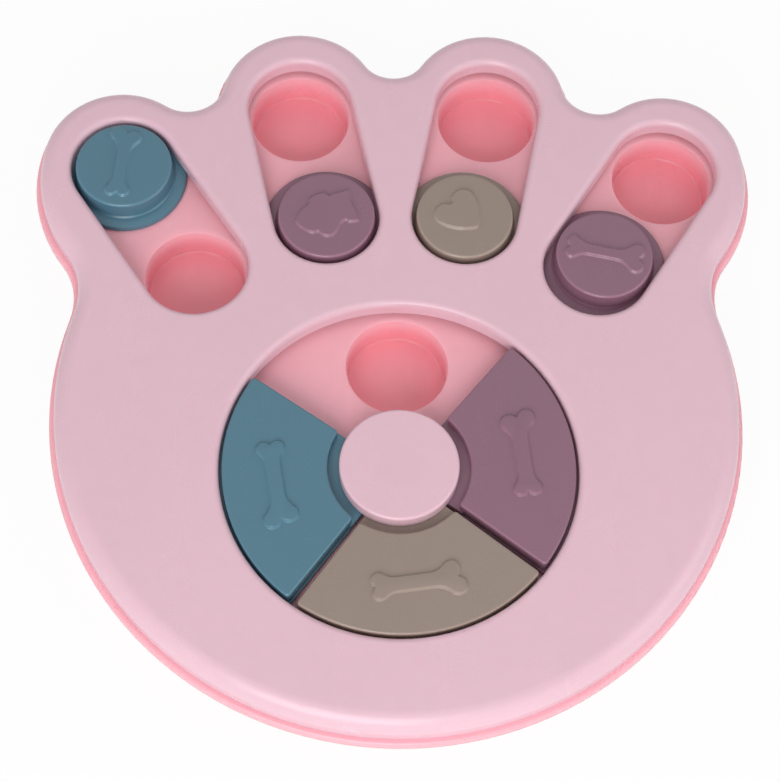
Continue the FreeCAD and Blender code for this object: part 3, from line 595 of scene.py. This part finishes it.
def cross_cutter(arm, half, depth):
    """Tapering cross, driven up into a screw head from below, with a size and a height at either end."""
    ends = ((1.1, -depth * 0.2), (0.62, depth))
    plan = [(arm, -half), (arm, half), (half, half), (half, arm), (-half, arm), (-half, half), (-arm, half),
            (-arm, -half), (-half, -half), (-half, -arm), (half, -arm), (half, -half)]
    count = len(plan)
    points, faces = skin([[(x * size, y * size, height) for x, y in plan] for size, height in ends], count)
    return mesh_of("recess", points, faces + [tuple(range(count)), tuple(range(count, 2 * count))])


def screw_mesh(node, sizes):
    """Self-tapping screw with a domed head below, a cross recess and a cut thread."""
    low, high = (Vector(corner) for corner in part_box(node))
    head = (high.x - low.x) / 2
    rise, crest = sizes.head_rise, sizes.shank_radius
    root = crest - sizes.thread_depth
    end = high.z - low.z
    rings = turned([(head * reach, rise * height) for reach, height in HEAD_PROFILE])
    rows_per_turn = 8
    thread = end - rise - crest
    rows = int(thread / sizes.pitch * rows_per_turn)
    for row in range(rows + 1):
        climb = row / rows * thread
        run_out = min(1.0, (rows - row) / rows_per_turn, row * 2 / rows_per_turn)
        ring = []
        for index in range(SIDES):
            share = index / SIDES
            phase = (climb / sizes.pitch - share) % 1.0
            radius = root + (crest - root) * max(0.0, 1.0 - abs(phase - 0.5) * 3.2) * run_out
            angle = 2 * math.pi * share
            ring.append((radius * math.cos(angle), radius * math.sin(angle), rise + climb))
        rings.append(ring)
    rings += turned([(root * 0.8, end - crest * 0.6), (root * 0.35, end), (0.0, end)])
    blank = bpy.data.objects.new("screw_blank", mesh_of("screw", *skin(rings, SIDES)))
    cross = cross_cutter(sizes.recess, sizes.recess * 0.22, rise * 0.62)
    cutter = bpy.data.objects.new("screw_cutter", cross)
    for item in (blank, cutter):
        bpy.context.scene.collection.objects.link(item)
    cut = blank.modifiers.new("recess", "BOOLEAN")
    cut.operation = "DIFFERENCE"
    cut.object = cutter
    evaluated = blank.evaluated_get(bpy.context.evaluated_depsgraph_get())
    mesh = bpy.data.meshes.new_from_object(evaluated)
    for item in (blank, cutter):
        bpy.data.objects.remove(item)
    if len(mesh.polygons) < rows * SIDES:
        raise RuntimeError("%s has no shape" % node)
    return mesh


def foot_mesh(node, sizes):
    """Rubber disc with a rounded edge, a groove round its sole and a dimple in the middle."""
    low, high = (Vector(corner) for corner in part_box(node))
    radius, rise = (high.x - low.x) / 2, high.z - low.z
    profile = [(radius * reach, sizes.groove * height) for reach, height in FOOT_PROFILE]
    rings = turned([*profile, (radius, rise), (0.0, rise)])
    return mesh_of("foot", *skin(rings, SIDES))


def wear(node, material):
    """Gives a carried-over node its finish."""
    carried = frame["nodes"][node]
    if not carried.material_slots:
        carried.data.materials.append(material)
    for place in carried.material_slots:
        place.material = material


def screen_colour(title, words, value):
    """Setting of a colour, as a screen shows it."""
    return FloatVectorProperty(name=title, description=words, subtype="COLOR_GAMMA", size=3, min=0.0,
                               max=1.0, default=value)


def length(title, words, value):
    """Setting of a length in metres."""
    return FloatProperty(name=title, description=words, subtype="DISTANCE", unit="LENGTH", min=0.0,
                         default=value, precision=5)


class PAW_PG_finish(bpy.types.PropertyGroup):
    """Colours and textures of the moulded pieces"""

    cover: screen_colour("Cover", "Pale pink of the cover and the hub cap", (0.895, 0.745, 0.795))
    tray: screen_colour("Tray", "Deeper pink of the tray", (0.985, 0.70, 0.745))
    # Painted shade: the cups' deeper pink, and the heights over which the tray's pink turns into it.
    cups: screen_colour("Cups", "Stronger pink deep in the cups", (0.985, 0.635, 0.68))
    cup_shade_start: length("Cup colour's start", "Height where the cups' pink begins", 0.0225)
    cup_shade_end: length("Cup colour's end", "Height where the cups' pink is full", 0.013)
    blue: screen_colour("Blue", "Blue of one slider and one tile", (0.315, 0.475, 0.545))
    grey: screen_colour("Warm grey", "Grey of one slider and one tile", (0.585, 0.52, 0.48))
    purple: screen_colour("Purple", "Purple of two sliders and one tile", (0.545, 0.395, 0.465))
    gloss: FloatProperty(name="Roughness", description="Roughness of the satin plastic", subtype="FACTOR",
                         min=0.0, max=1.0, default=0.26)
    # Painted highlight: how much paler the rounded edges are painted.
    painted_edge_highlight: FloatProperty(name="Edge wear", description="How much paler the rubbed edges are",
                             subtype="FACTOR", min=0.0, max=1.0, default=0.26)
    grain: length("Grain size", "Width of the mould's fine texture", 0.0004)
    grain_depth: length("Grain depth", "Height of the mould's fine texture", 0.000025)
    scuff_depth: length("Scuff depth", "Depth of the hairline scuffs", 0.00001)
    sink_depth: length("Sink depth", "Depth of the shallow mark over a boss", 0.00006)


class PAW_PG_figures(bpy.types.PropertyGroup):
    """Sizes of the sliders and of their raised figures, and of the bones on the tiles"""

    slot_was: length("Slot edge in the frame", "Rounding of the slots' top edges in the frame", 0.0014)
    slot_edge: length("Slot edge", "Rounding of the slots' top edges", 0.0024)
    rise: length("Rise", "Height of a raised figure", 0.0011)
    shoulder: length("Shoulder", "Width of a raised figure's soft side", 0.0010)
    button: length("Button radius", "Radius of a slider's button at its top", 0.0176)
    draft: length("Draft", "Widening of the button down to its flange", 0.0006)
    edge: length("Edge", "Rounding of the button's top edge", 0.0012)
    wall: length("Wall", "Wall of a slider", 0.002)
    flange: length("Flange height", "Height of a slider's flange", 0.0022)
    flange_bevel: length("Flange bevel", "Bevel of the flange's edge", 0.0011)
    mesh_step: length("Mesh step", "Spacing of the points on a slider's top", 0.00025)
    tile_bone_reach: length("Bone's place", "Distance of a tile's bone from the hub", 0.043)


class PAW_PG_hardware(bpy.types.PropertyGroup):
    """Colours and sizes of the rubber feet and the screws"""

    rubber: screen_colour("Rubber", "Colour of the feet", (0.80, 0.77, 0.78))
    steel: screen_colour("Steel", "Colour of the screws", (0.72, 0.72, 0.70))
    head_rise: length("Head height", "Height of a screw's head", 0.0022)
    shank_radius: length("Thread radius", "Radius over a screw's thread", 0.0014)
    thread_depth: length("Thread depth", "Depth of a screw's thread", 0.0004)
    pitch: length("Pitch", "Rise of the thread in one turn", 0.0013)
    recess: length("Recess", "Reach of the cross recess from its middle", 0.0017)
    groove: length("Groove", "Depth of the groove in a foot's sole", 0.0003)


class PAW_PG_stage(bpy.types.PropertyGroup):
    """Floor, light and camera"""

    floor: screen_colour("Floor", "Colour of the floor", (0.97, 0.97, 0.97))
    whiteness: FloatProperty(name="Whiteness", description="Share of plain white in the floor as it is seen",
                             subtype="FACTOR", min=0.0, max=1.0, default=0.93)
    sky: FloatProperty(name="Surrounding light", description="Strength of the light from all round",
                       min=0.0, default=0.55)
    key: FloatProperty(name="Key light", description="Power of the large lamp above", subtype="POWER",
                       unit="POWER", min=0.0, default=9.0)
    lens: FloatProperty(name="Lens", description="Focal length on a 36 mm frame", subtype="DISTANCE_CAMERA",
                        unit="CAMERA", default=101.0)
    distance: length("Distance", "Camera's distance from the toy's middle", 0.7663)
    elevation: FloatProperty(name="Elevation", description="Camera's height angle", subtype="ANGLE",
                             default=math.radians(64.37))
    azimuth: FloatProperty(name="Azimuth", description="Camera's turn round the toy", subtype="ANGLE",
                           default=math.radians(-4.25))
    roll: FloatProperty(name="Roll", description="Camera's tilt about its own axis", subtype="ANGLE",
                        default=math.radians(3.97))


class PAW_OT_shells(bpy.types.Operator):
    """Finishes the cover and the hub cap"""

    bl_idname = "paw.shells"
    bl_label = "Cover and hub cap"

    def execute(self, context):
        finish = context.scene.paw_finish
        cover = node_copy("top_cover")
        soften_slots(cover, context.scene.paw_figures)
        material = moulded_plastic("pale_pink_plastic", finish.cover, finish)
        stand_in("top_cover", cover, material, crease=30.0)
        wear("hub_cap", moulded_plastic("hub_pink_plastic", finish.cover, finish, sink=(HUB, STEM_RADIUS)))
        return {"FINISHED"}


class PAW_OT_tray(bpy.types.Operator):
    """Finishes the tray and its cups"""

    bl_idname = "paw.tray"
    bl_label = "Tray"

    def execute(self, context):
        finish = context.scene.paw_finish
        # Painted shade: the tray turns deeper pink lower down, in the cups.
        cups = (finish.cups, finish.cup_shade_start, finish.cup_shade_end)
        material = moulded_plastic("deep_pink_plastic", finish.tray, finish, glow=0.3, depth_shade=cups)
        tray = node_copy("base_tray")
        soften_cups(tray)
        stand_in("base_tray", tray, material, crease=50.0)
        return {"FINISHED"}


class PAW_OT_players(bpy.types.Operator):
    """Finishes the sliders and the turning tiles"""

    bl_idname = "paw.players"
    bl_label = "Sliders and tiles"

    def execute(self, context):
        finish = context.scene.paw_finish
        figures = context.scene.paw_figures
        loops = slider_loops()
        groups = (
            ("slate_blue", finish.blue, ("slider_blue_bone", "tile_blue")),
            ("warm_grey", finish.grey, ("slider_grey_heart", "tile_grey")),
            ("dusty_purple", finish.purple, ("slider_purple_fish", "slider_purple_bone", "tile_purple")),
        )
        for slot, colour, nodes in groups:
            tops = {}
            for kind, top in (("slider", DECK), ("tile", TILE_TOP)):
                # Bands of the buttons' rounded edges and of the figures' sides, painted paler as a painted
                # highlight and made smoother.
                wear_and_highlight_bands = ((top - figures.edge * 0.8, top - NEAR), (top + NEAR, top + figures.rise * 0.97))
                name = "%s_%s" % (slot, kind)
                tops[kind] = moulded_plastic(name, colour, finish, glow=0.05, wear_and_highlight_bands=wear_and_highlight_bands)
            for node in nodes:
                if node in loops:
                    stand_for(node, slider_mesh(node, loops[node], figures), tops["slider"])
                    continue
                stand_in(node, bare_tile(node, TILE_TOP), tops["tile"])
                relief = tile_bone_mesh(TILE_TURNS[node], TILE_TOP, figures)
                seat("bone_on_" + node, relief, node, tops["tile"])
        return {"FINISHED"}


class PAW_OT_hardware(bpy.types.Operator):
    """Finishes the screws and the feet"""

    bl_idname = "paw.hardware"
    bl_label = "Screws and feet"

    def execute(self, context):
        hardware = context.scene.paw_hardware
        steel = plated_steel("plated_steel", hardware.steel)
        rubber = foot_rubber("foot_rubber", hardware.rubber)
        for node in frame["nodes"]:
            if "screw" in node:
                stand_for(node, screw_mesh(node, hardware), steel)
            if node.startswith("foot"):
                stand_for(node, foot_mesh(node, hardware), rubber)
        return {"FINISHED"}


class PAW_OT_stage(bpy.types.Operator):
    """Lays the floor and sets the light and the camera"""

    bl_idname = "paw.stage"
    bl_label = "Floor, light and camera"

    def execute(self, context):
        stage = context.scene.paw_stage
        lay_floor(stage)
        surround(context.scene, stage)
        for name, share, spot, size in LAMPS:
            hang_lamp(name, stage.key * share, spot, size)
        set_camera(context.scene, stage)
        context.scene.view_settings.view_transform = "Standard"
        return {"FINISHED"}


def lay_floor(stage):
    """White paper that fades into the white all round."""
    reach = 3.0
    mesh = bpy.data.meshes.new("floor")
    mesh.from_pydata([(-reach, -reach, 0), (reach, -reach, 0), (reach, reach, 0), (-reach, reach, 0)], [],
                     [(0, 1, 2, 3)])
    floor = bpy.data.objects.new("floor", mesh)
    bpy.context.scene.collection.objects.link(floor)
    recipe = new_material("floor_paper")
    speckle = recipe.noise(300.0, 2.0)
    colour = (1.0 + (speckle - 0.5) * 0.01) * linear(stage.floor)
    paper = recipe.node("ShaderNodeBsdfDiffuse", None, {"Color": colour})
    white = recipe.node("ShaderNodeEmission", None, {"Color": (1.0, 1.0, 1.0), "Strength": 1.0})
    share = recipe.seen_directly() * stage.whiteness
    mixed = recipe.node("ShaderNodeMixShader", None, {0: share, 1: paper, 2: white})
    recipe.node("ShaderNodeOutputMaterial", None, {"Surface": mixed})
    mesh.materials.append(recipe.owner)


def surround(scene, stage):
    """White all round to the eye and in reflections, and a softer light on the object."""
    recipe = Recipe(bpy.data.worlds.new("studio"))
    soft, plain = (recipe.node("ShaderNodeBackground", None, {"Color": (1.0, 1.0, 1.0), "Strength": strength})
                   for strength in (stage.sky, 1.0))
    mixed = recipe.node("ShaderNodeMixShader", None, {0: recipe.seen_directly(), 1: soft, 2: plain})
    recipe.node("ShaderNodeOutputWorld", None, {"Surface": mixed})
    scene.world = recipe.owner


def hang_lamp(name, power, spot, size):
    """Square lamp aimed at the middle of the toy."""
    light = bpy.data.lights.new(name, "AREA")
    light.energy = power
    light.size = size
    lamp = bpy.data.objects.new(name, light)
    lamp.location = spot
    lamp.rotation_euler = (-Vector(spot)).to_track_quat("-Z", "Y").to_euler()
    bpy.context.scene.collection.objects.link(lamp)


def set_camera(scene, stage):
    """Camera on a line from the toy's middle, at the photograph's angle."""
    turn, lift, roll = stage.azimuth, stage.elevation, stage.roll
    back = Vector((math.sin(turn) * math.cos(lift), -math.cos(turn) * math.cos(lift), math.sin(lift)))
    flat = Vector((math.cos(turn), math.sin(turn), 0.0))
    rise = back.cross(flat)
    right = math.cos(roll) * flat + math.sin(roll) * rise
    up = -math.sin(roll) * flat + math.cos(roll) * rise
    lens = bpy.data.cameras.new("camera")
    lens.sensor_width = 36.0
    lens.lens = stage.lens
    lens.clip_start = 0.01
    camera = bpy.data.objects.new("camera", lens)
    pose = Matrix((right, up, back)).transposed().to_4x4()
    pose.translation = AIM + stage.distance * back
    camera.matrix_world = pose
    scene.collection.objects.link(camera)
    scene.camera = camera


OPERATORS = (PAW_OT_shells, PAW_OT_tray, PAW_OT_players, PAW_OT_hardware, PAW_OT_stage)


class PAW_PT_workshop(bpy.types.Panel):
    """Lists the steps that make the toy's looks"""

    bl_label = "Paw Puzzle"
    bl_idname = "PAW_PT_workshop"
    bl_space_type = "VIEW_3D"
    bl_region_type = "UI"
    bl_category = "Paw Puzzle"

    def draw(self, context):
        for group in GROUPS:
            settings = getattr(context.scene, group)
            box = self.layout.box()
            for name in settings.__annotations__:
                box.prop(settings, name)
        for step in OPERATORS:
            self.layout.operator(step.bl_idname)


GROUPS = {
    "paw_finish": PAW_PG_finish,
    "paw_figures": PAW_PG_figures,
    "paw_hardware": PAW_PG_hardware,
    "paw_stage": PAW_PG_stage,
}


def register():
    for item in (*GROUPS.values(), *OPERATORS, PAW_PT_workshop):
        bpy.utils.register_class(item)
    for name, group in GROUPS.items():
        setattr(bpy.types.Scene, name, PointerProperty(type=group))


def unregister():
    for name in GROUPS:
        delattr(bpy.types.Scene, name)
    for item in (PAW_PT_workshop, *reversed(OPERATORS), *reversed(GROUPS.values())):
        bpy.utils.unregister_class(item)


def main():
    register()
    for step in OPERATORS:
        group, name = step.bl_idname.split(".")
        getattr(getattr(bpy.ops, group), name)()


if __name__ == "__main__":
    main()
